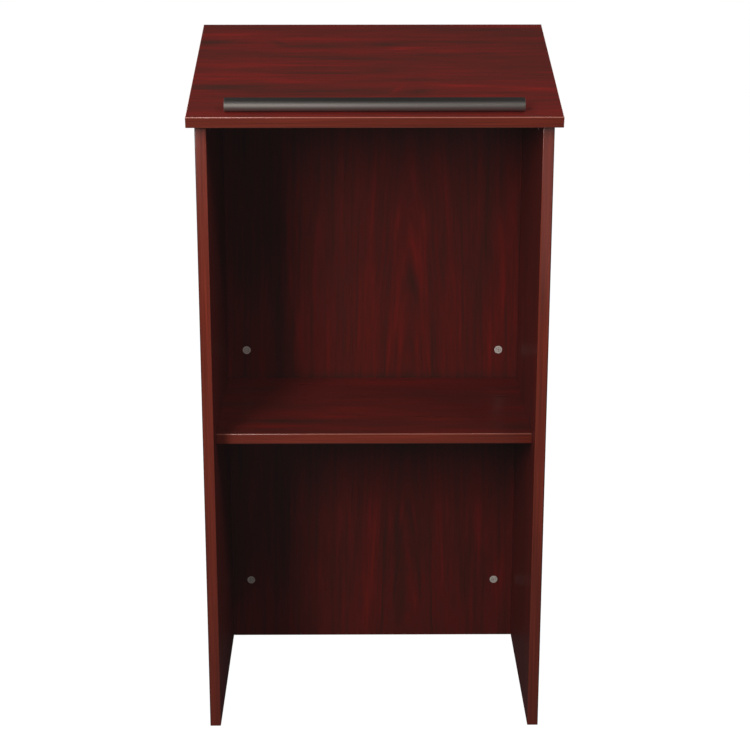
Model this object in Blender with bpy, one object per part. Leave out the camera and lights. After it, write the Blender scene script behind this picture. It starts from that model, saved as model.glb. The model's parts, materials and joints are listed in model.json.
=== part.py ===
"""Floor-standing presentation lectern in laminated particle board.

Two side panels, a back panel, a fixed shelf and a sloping reading top are drawn together by
fifteen-millimetre cam locks and lined up by wooden dowels, as in flat-pack furniture. Every sawn
edge that shows carries a thin edge band, and a book stop is screwed to the reading top from below.

Units are metres. +Z is up, +X is to the right as the speaker sees it, and the speaker stands on
the -Y side, where the lectern is open. The origin is on the floor, under the middle of the whole.
"""

import math

import bmesh
import bpy
from mathutils import Matrix, Vector

# Boards
BOARD = 0.018
GAP = 0.0003
BAND = 0.001
TOP_WIDTH = 0.584
TOP_LENGTH = 0.411
TOP_SLOPE = math.radians(13.25)
TOP_FRONT_HEIGHT = 1.051
FRONT_OVERHANG = 0.022
BODY_WIDTH = 0.560
BODY_DEPTH = 0.374
SHELF_HEIGHT = 0.511
SHELF_SETBACK = 0.049

# Cam locks: the bolt lies in the middle of the board, so each height is measured from its face
CAM_REACH = 0.0345
CAM_RADIUS = 0.0072
CAM_RECESS = 0.0002
CAM_BOTTOM = 0.0138
CAM_HOLLOW_RADIUS = 0.0049
CAM_HOLLOW_HALF = 0.0039
CAM_SLOT_HALF = 0.0027
CAM_POCKET_RADIUS = 0.0075
CAM_POCKET_DEPTH = 0.0142
CROSS_LENGTH = 0.0078
CROSS_WIDTH = 0.0016
CROSS_DEPTH = 0.0026

# Cam bolts: lengths are measured from the face that the bolt is screwed into
BOLT_THREAD_RADIUS = 0.0030
BOLT_THREAD_LENGTH = 0.0110
BOLT_SHAFT_RADIUS = 0.0034
BOLT_NECK_RADIUS = 0.0022
BOLT_NECK_LENGTH = 0.0065
BOLT_HEAD_RADIUS = 0.0035
BOLT_HEAD_LENGTH = 0.0060
BOLT_CHAMFER = 0.0008
PILOT_RADIUS = 0.0034
PILOT_DEPTH = 0.0116
EDGE_BORE_RADIUS = 0.0040

# Dowels: a third of the length sits in the face of one board, the rest in the edge of the other
DOWEL_RADIUS = 0.0040
DOWEL_BORE_RADIUS = 0.0044
DOWEL_IN_FACE = 0.0100
DOWEL_IN_EDGE = 0.0200
DOWEL_CHAMFER = 0.0010
DOWEL_SLACK = 0.0005

# Places of the fastenings
BACK_CAM_HEIGHTS = {"lower": 0.113, "middle": 0.5635, "upper": 1.014}
BACK_DOWEL_HEIGHTS = {"lower": 0.325, "upper": 0.800}
SHELF_CAM_INSET = 0.055
TOP_CAM_PLACES = {"front": 0.070, "rear": 0.315}
TOP_DOWEL_PLACES = {"front": 0.125, "rear": 0.260}

# Book stop and its screws, on the reading top's own slope
STOP_LENGTH = 0.466
STOP_DEPTH = 0.021
STOP_HEIGHT = 0.018
STOP_INSET = 0.016
STOP_NOSE_RADIUS = STOP_HEIGHT / 2
STOP_NOSE_STEPS = 16
STOP_REAR_ROUND = 0.0020
STOP_REAR_STEPS = 3
SCREW_SPREAD = 0.190
SCREW_RADIUS = 0.0019
SCREW_HEAD_RADIUS = 0.0040
SCREW_HEAD_HEIGHT = 0.0026
SCREW_IN_STOP = 0.0120
SCREW_BORE_RADIUS = 0.0023
SCREW_TIP = 0.0050
SCREW_POINT_RADIUS = 0.0003
SCREW_DOME_RADIUS = 0.0028
SCREW_DOME_HEIGHT = 0.0014
SCREW_CROSS_LENGTH = 0.0044
SCREW_CROSS_WIDTH = 0.0010
SCREW_CROSS_DEPTH = 0.0016

# How finely round pieces are made, how sharp an edge stays an edge, and how far a cutter runs past
ROUND_STEPS = 24
HALF_ROUND_STEPS = 12
SMALL_ROUND_STEPS = 12
SHARP_ANGLE = math.radians(40)
PAST = 0.002

HALF_INSIDE = BODY_WIDTH / 2 - BOARD
WHOLE_DEPTH = TOP_LENGTH * math.cos(TOP_SLOPE) + BOARD * math.sin(TOP_SLOPE)
TOP_FRONT_Y = -WHOLE_DEPTH / 2
BODY_FRONT_Y = TOP_FRONT_Y + FRONT_OVERHANG
BODY_REAR_Y = BODY_FRONT_Y + BODY_DEPTH
BACK_MIDDLE_Y = BODY_REAR_Y - BOARD / 2
SHELF_FRONT_Y = BODY_FRONT_Y + SHELF_SETBACK
SHELF_REAR_Y = BODY_REAR_Y - BOARD - GAP
SHELF_MIDDLE_Z = SHELF_HEIGHT - BOARD / 2
SIDES = {"left": -1, "right": 1}

TOP_NORMAL = Vector((0, -math.sin(TOP_SLOPE), math.cos(TOP_SLOPE)))


def clear_scene():
    for thing in list(bpy.data.objects):
        bpy.data.objects.remove(thing, do_unlink=True)


def make_material(name, colour, roughness, metallic=0.0):
    finish = bpy.data.materials.new(name)
    finish.use_nodes = True
    shader = finish.node_tree.nodes["Principled BSDF"]
    shader.inputs["Base Color"].default_value = (*colour, 1.0)
    shader.inputs["Roughness"].default_value = roughness
    shader.inputs["Metallic"].default_value = metallic
    return finish


def add_object(name, mesh, material=None, placed=None, parent=None):
    """Links a mesh to the scene as an object, placed in its parent's frame."""
    thing = bpy.data.objects.new(name, mesh)
    bpy.context.collection.objects.link(thing)
    if material and not mesh.materials:
        mesh.materials.append(material)
    thing.parent = parent
    if placed:
        thing.matrix_local = placed
    return thing


def finish_mesh(name, bm, smooth=False):
    bmesh.ops.recalc_face_normals(bm, faces=bm.faces)
    mesh = bpy.data.meshes.new(name)
    bm.to_mesh(mesh)
    bm.free()
    if smooth:
        mesh.shade_smooth()
        mesh.set_sharp_from_angle(angle=SHARP_ANGLE)
    return mesh


def add_prism(bm, outline, start, end, axis="X"):
    """Extrudes a flat outline of (a, b) points along X, where they are (y, z), or along Z, as (x, y)."""
    if axis == "X":
        bottom = [bm.verts.new((start, a, b)) for a, b in outline]
        shift = Vector((end - start, 0, 0))
    else:
        bottom = [bm.verts.new((a, b, start)) for a, b in outline]
        shift = Vector((0, 0, end - start))
    face = bm.faces.new(bottom)
    grown = bmesh.ops.extrude_face_region(bm, geom=[face])
    raised = [item for item in grown["geom"] if isinstance(item, bmesh.types.BMVert)]
    bmesh.ops.translate(bm, vec=shift, verts=raised)


def add_box(bm, low, high):
    corners = [(low[0], low[1]), (high[0], low[1]), (high[0], high[1]), (low[0], high[1])]
    add_prism(bm, corners, low[2], high[2], axis="Z")


def add_turned(bm, profile, steps, placed=None):
    """Spins a profile of (radius, z) points, bottom to top, into a closed solid about Z."""
    placed = placed or Matrix.Identity(4)
    rings = []
    for radius, height in profile:
        ring = []
        for step in range(steps):
            angle = 2 * math.pi * step / steps
            spot = Vector((radius * math.cos(angle), radius * math.sin(angle), height))
            ring.append(bm.verts.new(placed @ spot))
        rings.append(ring)
    for lower, upper in zip(rings, rings[1:]):
        for step in range(steps):
            after = (step + 1) % steps
            bm.faces.new((lower[step], lower[after], upper[after], upper[step]))
    bm.faces.new(list(reversed(rings[0])))
    bm.faces.new(rings[-1])


def cross_outline(length, width):
    """The twelve corners of a cross, going round it once."""
    long_half, short_half = length / 2, width / 2
    arm = [(long_half, -short_half), (long_half, short_half), (short_half, short_half)]
    outline = []
    for quarter in range(4):
        angle = quarter * math.pi / 2
        for x, y in arm:
            turned_x = x * math.cos(angle) - y * math.sin(angle)
            turned_y = x * math.sin(angle) + y * math.cos(angle)
            outline.append((turned_x, turned_y))
    return outline


def arc(centre, radius, start, end, steps):
    """Points round part of a circle, from one angle in degrees to another."""
    points = []
    for step in range(steps + 1):
        angle = math.radians(start + (end - start) * step / steps)
        points.append((centre[0] + radius * math.cos(angle), centre[1] + radius * math.sin(angle)))
    return points


def add_cutter(target, name, bm):
    """Cuts the closed shapes in a bmesh out of an object. The shapes don't touch each other."""
    cutter = add_object(name, finish_mesh(name, bm), parent=target.parent)
    cutter.hide_render = True
    cutter.display_type = "WIRE"
    cut = target.modifiers.new(name, "BOOLEAN")
    cut.operation = "DIFFERENCE"
    cut.object = cutter
    return cutter


def baked_mesh(thing):
    """The object's mesh with its cuts made, after which the object and its cutters are removed."""
    bpy.context.view_layer.update()
    seen = thing.evaluated_get(bpy.context.evaluated_depsgraph_get())
    mesh = bpy.data.meshes.new_from_object(seen)
    cutters = [modifier.object for modifier in thing.modifiers]
    for spare in [*cutters, thing]:
        bpy.data.objects.remove(spare, do_unlink=True)
    mesh.shade_smooth()
    mesh.set_sharp_from_angle(angle=SHARP_ANGLE)
    return mesh


def frame_from(x_axis, z_axis, origin):
    """A placement with its local X and Z along two given directions."""
    y_axis = z_axis.cross(x_axis)
    turn = Matrix((x_axis, y_axis, z_axis)).transposed().to_4x4()
    return Matrix.Translation(origin) @ turn


def underside_height(y):
    """Height of the reading top's underside above the floor, at a given depth."""
    drop = BOARD / math.cos(TOP_SLOPE)
    return TOP_FRONT_HEIGHT - drop + (y - TOP_FRONT_Y) * math.tan(TOP_SLOPE)


class Fastening:
    """One edge-to-face joint: a spot on the face, the way into the other board, and its open side."""

    def __init__(self, name, face_board, edge_board, spot, inward, outward):
        self.name = name
        self.face_board = face_board
        self.edge_board = edge_board
        self.spot = Vector(spot)
        self.inward = Vector(inward)
        self.outward = Vector(outward)

    def along(self):
        """Placement whose Z runs from the face into the other board's edge."""
        return frame_from(self.outward, self.inward, self.spot)

    def cam(self):
        """Placement of the cam: Z out of the board's face, X towards the bolt's foot."""
        centre = self.spot + self.inward * CAM_REACH + self.outward * (BOARD / 2)
        return frame_from(-self.inward, self.outward, centre)


def back_sites(heights):
    """Joints between the side panels and the back panel, at each height."""
    for side, sign in SIDES.items():
        for level, height in heights.items():
            spot = (sign * HALF_INSIDE, BACK_MIDDLE_Y, height)
            name = f"back_{side}_{level}"
            yield Fastening(name, f"{side}_side_panel", "back_panel", spot, (-sign, 0, 0), (0, -1, 0))


def shelf_sites(places):
    """Joints between the side panels and the shelf, at each depth."""
    for side, sign in SIDES.items():
        for level, depth in places.items():
            spot = (sign * HALF_INSIDE, depth, SHELF_MIDDLE_Z)
            name = f"shelf_{side}_{level}"
            yield Fastening(name, f"{side}_side_panel", "shelf", spot, (-sign, 0, 0), (0, 0, -1))


def top_sites(places):
    """Joints between the reading top's underside and the side panels, at each depth."""
    for side, sign in SIDES.items():
        for level, depth in places.items():
            y = BODY_FRONT_Y + depth
            spot = (sign * (HALF_INSIDE + BOARD / 2), y, underside_height(y))
            name = f"top_{side}_{level}"
            yield Fastening(name, "reading_top", f"{side}_side_panel", spot, -TOP_NORMAL, (-sign, 0, 0))


def cam_fastenings():
    shelf_places = {"front": SHELF_FRONT_Y + SHELF_CAM_INSET, "rear": SHELF_REAR_Y - SHELF_CAM_INSET}
    return [
        *back_sites(BACK_CAM_HEIGHTS),
        *shelf_sites(shelf_places),
        *top_sites(TOP_CAM_PLACES),
    ]


def dowel_fastenings():
    shelf_places = {"middle": (SHELF_FRONT_Y + SHELF_REAR_Y) / 2}
    return [
        *back_sites(BACK_DOWEL_HEIGHTS),
        *shelf_sites(shelf_places),
        *top_sites(TOP_DOWEL_PLACES),
    ]


def bore_panel(panel, cams, dowels, to_local):
    """Cuts a panel's cam pockets, and then its bores for bolts and dowels."""
    pockets = bmesh.new()
    bores = bmesh.new()
    for site in cams:
        if site.edge_board == panel.name:
            pocket = [(CAM_POCKET_RADIUS, -CAM_POCKET_DEPTH), (CAM_POCKET_RADIUS, PAST)]
            add_turned(pockets, pocket, ROUND_STEPS, to_local @ site.cam())
            edge_bore = [(EDGE_BORE_RADIUS, -PAST), (EDGE_BORE_RADIUS, CAM_REACH)]
            add_turned(bores, edge_bore, SMALL_ROUND_STEPS, to_local @ site.along())
        if site.face_board == panel.name:
            pilot = [(PILOT_RADIUS, -PILOT_DEPTH), (PILOT_RADIUS, PAST)]
            add_turned(bores, pilot, SMALL_ROUND_STEPS, to_local @ site.along())
    for site in dowels:
        if panel.name in (site.edge_board, site.face_board):
            in_face = site.face_board == panel.name
            low = -DOWEL_IN_FACE - DOWEL_SLACK if in_face else -PAST
            high = PAST if in_face else DOWEL_IN_EDGE + DOWEL_SLACK
            bore = [(DOWEL_BORE_RADIUS, low), (DOWEL_BORE_RADIUS, high)]
            add_turned(bores, bore, SMALL_ROUND_STEPS, to_local @ site.along())
    if pockets.verts:
        add_cutter(panel, f"{panel.name}_pockets", pockets)
    add_cutter(panel, f"{panel.name}_bores", bores)


def side_outline(front, rear):
    """A side panel's outline in (y, z), cut to the slope of the reading top."""
    return [
        (front, 0),
        (rear, 0),
        (rear, underside_height(rear) - GAP),
        (front, underside_height(front) - GAP),
    ]


def make_upright(name, outline, low_x, high_x, material):
    bm = bmesh.new()
    add_prism(bm, outline, low_x, high_x)
    return add_object(name, finish_mesh(name, bm), material)


def make_sides(laminate, band):
    """Both side panels, each with an edge band down its front and its rear."""
    front, rear = BODY_FRONT_Y, BODY_REAR_Y
    panels = []
    for side, sign in SIDES.items():
        low_x, high_x = sorted((sign * HALF_INSIDE, sign * BODY_WIDTH / 2))
        core = side_outline(front + BAND + GAP, rear - BAND - GAP)
        panels.append(make_upright(f"{side}_side_panel", core, low_x, high_x, laminate))
        front_band = side_outline(front, front + BAND)
        make_upright(f"{side}_side_front_band", front_band, low_x, high_x, band)
        rear_band = side_outline(rear - BAND, rear)
        make_upright(f"{side}_side_rear_band", rear_band, low_x, high_x, band)
    return panels


def make_back(laminate):
    half_width = HALF_INSIDE - GAP
    outline = side_outline(BODY_REAR_Y - BOARD, BODY_REAR_Y)
    return make_upright("back_panel", outline, -half_width, half_width, laminate)


def make_shelf(laminate, band):
    half_width = HALF_INSIDE - GAP
    bottom = SHELF_HEIGHT - BOARD
    board = bmesh.new()
    board_front = SHELF_FRONT_Y + BAND + GAP
    add_box(board, (-half_width, board_front, bottom), (half_width, SHELF_REAR_Y, SHELF_HEIGHT))
    shelf = add_object("shelf", finish_mesh("shelf", board), laminate)
    strip = bmesh.new()
    strip_rear = SHELF_FRONT_Y + BAND
    add_box(strip, (-half_width, SHELF_FRONT_Y, bottom), (half_width, strip_rear, SHELF_HEIGHT))
    add_object("shelf_front_band", finish_mesh("shelf_front_band", strip), band)
    return shelf


def make_top_frame():
    """An empty on the reading top's front edge, with Y up the slope and Z out of its upper face."""
    frame = add_object("reading_top_frame", None)
    frame.location = (0, TOP_FRONT_Y, TOP_FRONT_HEIGHT)
    frame.rotation_euler = (TOP_SLOPE, 0, 0)
    return frame


def make_top(frame, laminate, band):
    """The reading top with an edge band on each of its four edges."""
    half_width = TOP_WIDTH / 2
    inset = BAND + GAP
    boxes = {
        "reading_top": ((-half_width + inset, inset), (half_width - inset, TOP_LENGTH - inset)),
        "top_front_band": ((-half_width, 0), (half_width, BAND)),
        "top_rear_band": ((-half_width, TOP_LENGTH - BAND), (half_width, TOP_LENGTH)),
        "top_left_band": ((-half_width, inset), (-half_width + BAND, TOP_LENGTH - inset)),
        "top_right_band": ((half_width - BAND, inset), (half_width, TOP_LENGTH - inset)),
    }
    made = {}
    for name, (low, high) in boxes.items():
        bm = bmesh.new()
        add_box(bm, (*low, -BOARD), (*high, 0))
        material = laminate if name == "reading_top" else band
        made[name] = add_object(name, finish_mesh(name, bm), material, parent=frame)
    return made["reading_top"]


def stop_outline():
    """The book stop's section in (y, z): flat foot, half-round nose, flat crest, eased rear corner."""
    crest = GAP + STOP_HEIGHT
    rear = STOP_INSET + STOP_DEPTH
    nose_centre = (STOP_INSET + STOP_NOSE_RADIUS, GAP + STOP_NOSE_RADIUS)
    rear_centre = (rear - STOP_REAR_ROUND, crest - STOP_REAR_ROUND)
    return [
        (rear, GAP),
        *arc(rear_centre, STOP_REAR_ROUND, 0, 90, STOP_REAR_STEPS),
        *arc(nose_centre, STOP_NOSE_RADIUS, 90, 270, STOP_NOSE_STEPS),
    ]


def screw_places():
    middle = STOP_INSET + STOP_DEPTH / 2
    return {"left": (-SCREW_SPREAD, middle), "middle": (0, middle), "right": (SCREW_SPREAD, middle)}


def screw_bores(low, high):
    bores = bmesh.new()
    for x, y in screw_places().values():
        profile = [(SCREW_BORE_RADIUS, low), (SCREW_BORE_RADIUS, high)]
        add_turned(bores, profile, SMALL_ROUND_STEPS, Matrix.Translation((x, y, 0)))
    return bores


def make_stop(frame, plastic):
    bm = bmesh.new()
    add_prism(bm, stop_outline(), -STOP_LENGTH / 2, STOP_LENGTH / 2)
    stop = add_object("book_stop", finish_mesh("book_stop", bm, smooth=True), plastic, parent=frame)
    add_cutter(stop, "book_stop_bores", screw_bores(-PAST, SCREW_IN_STOP + SCREW_HEAD_HEIGHT))


def screw_mesh():
    """A cross-head wood screw, its head down and its point up, with its head against z = 0."""
    shank_end = BOARD + SCREW_IN_STOP
    bm = bmesh.new()
    profile = [
        (SCREW_DOME_RADIUS, -SCREW_HEAD_HEIGHT),
        (SCREW_HEAD_RADIUS, -SCREW_HEAD_HEIGHT + SCREW_DOME_HEIGHT),
        (SCREW_HEAD_RADIUS, -GAP),
        (SCREW_RADIUS, -GAP),
        (SCREW_RADIUS, shank_end - SCREW_TIP),
        (SCREW_POINT_RADIUS, shank_end),
    ]
    add_turned(bm, profile, SMALL_ROUND_STEPS)
    screw = add_object("screw", finish_mesh("screw", bm))
    recess = bmesh.new()
    outline = cross_outline(SCREW_CROSS_LENGTH, SCREW_CROSS_WIDTH)
    recess_end = -SCREW_HEAD_HEIGHT + SCREW_CROSS_DEPTH
    add_prism(recess, outline, -SCREW_HEAD_HEIGHT - PAST, recess_end, axis="Z")
    add_cutter(screw, "screw_recess", recess)
    return baked_mesh(screw)


def make_stop_screws(frame, steel):
    mesh = screw_mesh()
    mesh.materials.append(steel)
    for place, (x, y) in screw_places().items():
        placed = Matrix.Translation((x, y, -BOARD))
        add_object(f"book_stop_screw_{place}", mesh, placed=placed, parent=frame)


def cam_mesh():
    """A cam lock, with Z out of the board's face and the locked bolt lying along +X.

    The bolt's head turns in a round hollow. Its neck runs in a slot on the -Y half, as the cam
    turns from locked to open, where a full-height mouth at -X lets the head out.
    """
    middle = -BOARD / 2
    bm = bmesh.new()
    add_turned(bm, [(CAM_RADIUS, -CAM_BOTTOM), (CAM_RADIUS, -CAM_RECESS)], ROUND_STEPS)
    cam = add_object("cam", finish_mesh("cam", bm))

    hollow = bmesh.new()
    low, high = middle - CAM_HOLLOW_HALF, middle + CAM_HOLLOW_HALF
    add_turned(hollow, [(CAM_HOLLOW_RADIUS, low), (CAM_HOLLOW_RADIUS, high)], ROUND_STEPS)
    add_cutter(cam, "cam_hollow", hollow)

    slot = bmesh.new()
    outside = CAM_RADIUS + PAST
    half_turn = arc((0, 0), outside, 0, -180, HALF_ROUND_STEPS)
    neck_path = [(outside, CAM_SLOT_HALF), *half_turn, (-outside, CAM_SLOT_HALF)]
    add_prism(slot, neck_path, middle - CAM_SLOT_HALF, middle + CAM_SLOT_HALF, axis="Z")
    add_cutter(cam, "cam_slot", slot)

    mouth = bmesh.new()
    add_box(mouth, (-outside, -CAM_HOLLOW_HALF, low), (-CAM_SLOT_HALF, CAM_HOLLOW_HALF, high))
    add_cutter(cam, "cam_mouth", mouth)

    recess = bmesh.new()
    add_prism(recess, cross_outline(CROSS_LENGTH, CROSS_WIDTH), -CROSS_DEPTH, PAST, axis="Z")
    add_cutter(cam, "cam_cross", recess)
    return baked_mesh(cam)


def bolt_mesh():
    """A cam bolt: thread below z = 0, then shaft, neck and head, the head centred in the cam."""
    head_start = CAM_REACH - BOLT_HEAD_LENGTH / 2
    head_end = head_start + BOLT_HEAD_LENGTH
    neck_start = head_start - BOLT_NECK_LENGTH
    profile = [
        (BOLT_THREAD_RADIUS, -BOLT_THREAD_LENGTH),
        (BOLT_THREAD_RADIUS, GAP),
        (BOLT_SHAFT_RADIUS, GAP),
        (BOLT_SHAFT_RADIUS, neck_start),
        (BOLT_NECK_RADIUS, neck_start + BOLT_CHAMFER),
        (BOLT_NECK_RADIUS, head_start),
        (BOLT_HEAD_RADIUS, head_start + BOLT_CHAMFER),
        (BOLT_HEAD_RADIUS, head_end - BOLT_CHAMFER),
        (BOLT_HEAD_RADIUS - BOLT_CHAMFER, head_end),
    ]
    bm = bmesh.new()
    add_turned(bm, profile, SMALL_ROUND_STEPS)
    return finish_mesh("cam_bolt", bm, smooth=True)


def dowel_mesh():
    profile = [
        (DOWEL_RADIUS - DOWEL_CHAMFER, -DOWEL_IN_FACE),
        (DOWEL_RADIUS, -DOWEL_IN_FACE + DOWEL_CHAMFER),
        (DOWEL_RADIUS, DOWEL_IN_EDGE - DOWEL_CHAMFER),
        (DOWEL_RADIUS - DOWEL_CHAMFER, DOWEL_IN_EDGE),
    ]
    bm = bmesh.new()
    add_turned(bm, profile, SMALL_ROUND_STEPS)
    return finish_mesh("dowel", bm, smooth=True)


def make_fastenings(cams, dowels, zinc, steel, beech):
    """A cam lock and a bolt at each cam joint, and a dowel at each dowel joint."""
    lock, bolt, dowel = cam_mesh(), bolt_mesh(), dowel_mesh()
    lock.materials.append(zinc)
    for site in cams:
        add_object(f"cam_lock_{site.name}", lock, placed=site.cam())
        add_object(f"cam_bolt_{site.name}", bolt, steel, placed=site.along())
    for site in dowels:
        add_object(f"dowel_{site.name}", dowel, beech, placed=site.along())


def main():
    clear_scene()
    laminate = make_material("mahogany_laminate", (0.144, 0.016, 0.011), 0.30)
    band = make_material("edge_band", (0.23, 0.032, 0.016), 0.24)
    plastic = make_material("book_stop_plastic", (0.060, 0.056, 0.052), 0.50)
    zinc = make_material("cam_zinc", (0.55, 0.54, 0.52), 0.35, 1.0)
    steel = make_material("fastener_steel", (0.50, 0.50, 0.50), 0.35, 1.0)
    beech = make_material("dowel_beech", (0.55, 0.38, 0.22), 0.70)

    cams, dowels = cam_fastenings(), dowel_fastenings()
    top_frame = make_top_frame()
    top = make_top(top_frame, laminate, band)
    make_stop(top_frame, plastic)
    make_stop_screws(top_frame, steel)
    uprights = [*make_sides(laminate, band), make_back(laminate), make_shelf(laminate, band)]
    make_fastenings(cams, dowels, zinc, steel, beech)

    bpy.context.view_layer.update()
    for panel in uprights:
        bore_panel(panel, cams, dowels, Matrix.Identity(4))
    bore_panel(top, cams, dowels, top_frame.matrix_world.inverted())
    add_cutter(top, "reading_top_screw_bores", screw_bores(-BOARD - PAST, PAST))


main()
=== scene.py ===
import json
import math

import bmesh
import bpy
import numpy as np
from mathutils import Matrix, Vector


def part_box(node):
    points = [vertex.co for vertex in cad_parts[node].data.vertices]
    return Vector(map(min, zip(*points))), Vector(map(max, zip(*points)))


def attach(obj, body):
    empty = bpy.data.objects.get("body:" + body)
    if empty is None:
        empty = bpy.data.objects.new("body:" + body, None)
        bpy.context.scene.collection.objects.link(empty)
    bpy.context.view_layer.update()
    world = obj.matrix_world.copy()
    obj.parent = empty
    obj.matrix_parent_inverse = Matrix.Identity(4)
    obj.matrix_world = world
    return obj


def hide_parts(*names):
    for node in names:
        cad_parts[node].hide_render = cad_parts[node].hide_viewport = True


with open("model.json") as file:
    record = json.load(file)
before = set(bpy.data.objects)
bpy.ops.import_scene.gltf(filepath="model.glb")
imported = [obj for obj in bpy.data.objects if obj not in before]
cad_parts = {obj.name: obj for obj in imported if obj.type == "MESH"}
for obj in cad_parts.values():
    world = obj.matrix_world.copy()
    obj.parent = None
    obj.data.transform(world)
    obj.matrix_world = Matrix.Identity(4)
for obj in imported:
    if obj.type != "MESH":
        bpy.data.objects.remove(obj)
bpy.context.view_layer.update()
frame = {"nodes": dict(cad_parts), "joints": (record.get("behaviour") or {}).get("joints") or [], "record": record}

# Everything is in metres, in the frame of the CAD model: +Z up, +X to the speaker's right, and the
# speaker on the -Y side. The boards, bolts and dowels are the CAD nodes with new materials. The edge
# bands, book stop, screws and cam locks are finer pieces that stand for their nodes.
CABINET = "cabinet"
RIGHT = Vector((1, 0, 0))
INWARD = Vector((0, 1, 0))
UP = Vector((0, 0, 1))

SHARP_ANGLE = math.radians(35)

# Rounding of the edge bands
BAND_ROUND_IN = 0.0011
BAND_ROUND_DOWN = 0.0021
ROUND_STEPS = 8
NOSE_STEPS = 16
END_EASE = 0.00025

# Book stop
STOP_REAR_ROUND = 0.0020
STOP_END_EASE = 0.0006

# Cam locks: the CAD model's outside, hollow and slot, with an eased rim, a ring groove, a tapered
# cross and a mark that points at the bolt's foot
CAM_RADIUS = 0.0072
CAM_RECESS = 0.0002
CAM_BOTTOM = 0.0138
CAM_MIDDLE = -0.0090
CAM_RIM = 0.00035
CAM_GROOVE_OUT = 0.0050
CAM_GROOVE_IN = 0.0031
CAM_GROOVE_SLOPE = 0.0004
CAM_GROOVE_DEPTH = 0.0009
CAM_HOLLOW_RADIUS = 0.0049
CAM_HOLLOW_HALF = 0.0039
CAM_SLOT_HALF = 0.0027
CROSS_LENGTH = 0.0050
CROSS_WIDTH = 0.0011
CROSS_DEPTH = 0.0026
CROSS_TAPER = 0.62
MARK_TIP = 0.0067
MARK_BASE = 0.0054
MARK_HALF = 0.0007
MARK_DEPTH = 0.0004
FINE_STEPS = 64
PAST = 0.002

# Screws under the reading top
SCREW_RADIUS = 0.0019
SCREW_HEAD_RADIUS = 0.0040
SCREW_HEAD_HEIGHT = 0.0026
SCREW_LENGTH = 0.0300
SCREW_TIP = 0.0050
SCREW_TIP_SHARE = 0.12
SCREW_GAP = 0.0003
SCREW_DOME_SHARE = 0.55
SCREW_DOME_ANGLES = range(30, 91, 10)
SCREW_CROSS_LENGTH = 0.0044
SCREW_CROSS_WIDTH = 0.0010
SCREW_CROSS_FLOOR = -0.00091

# Camera
CAMERA_PLACE = (-0.0274, -3.0266, 1.5284)
CAMERA_DOWN = 0.28994
CAMERA_TURN = 0.00644
CAMERA_LENS = 88.78
CAMERA_SENSOR = 36.0
CAMERA_SHIFT = (0.00823, -0.040)
CAMERA_FAR = 200
BLACK_LIFT = 0.0035

# Studio
FLOOR_HALF = 40.0
FLOOR_DROP = 0.0005
FLOOR_GREY = 0.12
WORLD_GLOW = 0.05


def mount_axis(name):
    """The direction that one of the record's mounts faces."""
    for mount in frame["record"]["mounts"]:
        if mount["name"] == name:
            return Vector(mount["axis"]).normalized()
    raise KeyError(name)


TOP_NORMAL = mount_axis("reading_surface")
UP_SLOPE = TOP_NORMAL.cross(RIGHT)


def span(node, direction):
    """How far a CAD node reaches along a direction: (lowest, highest)."""
    corners = np.array([vertex.co for vertex in frame["nodes"][node].data.vertices])
    reach = corners @ np.array(direction)
    return float(reach.min()), float(reach.max())


# ---------------------------------------------------------------- materials


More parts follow.
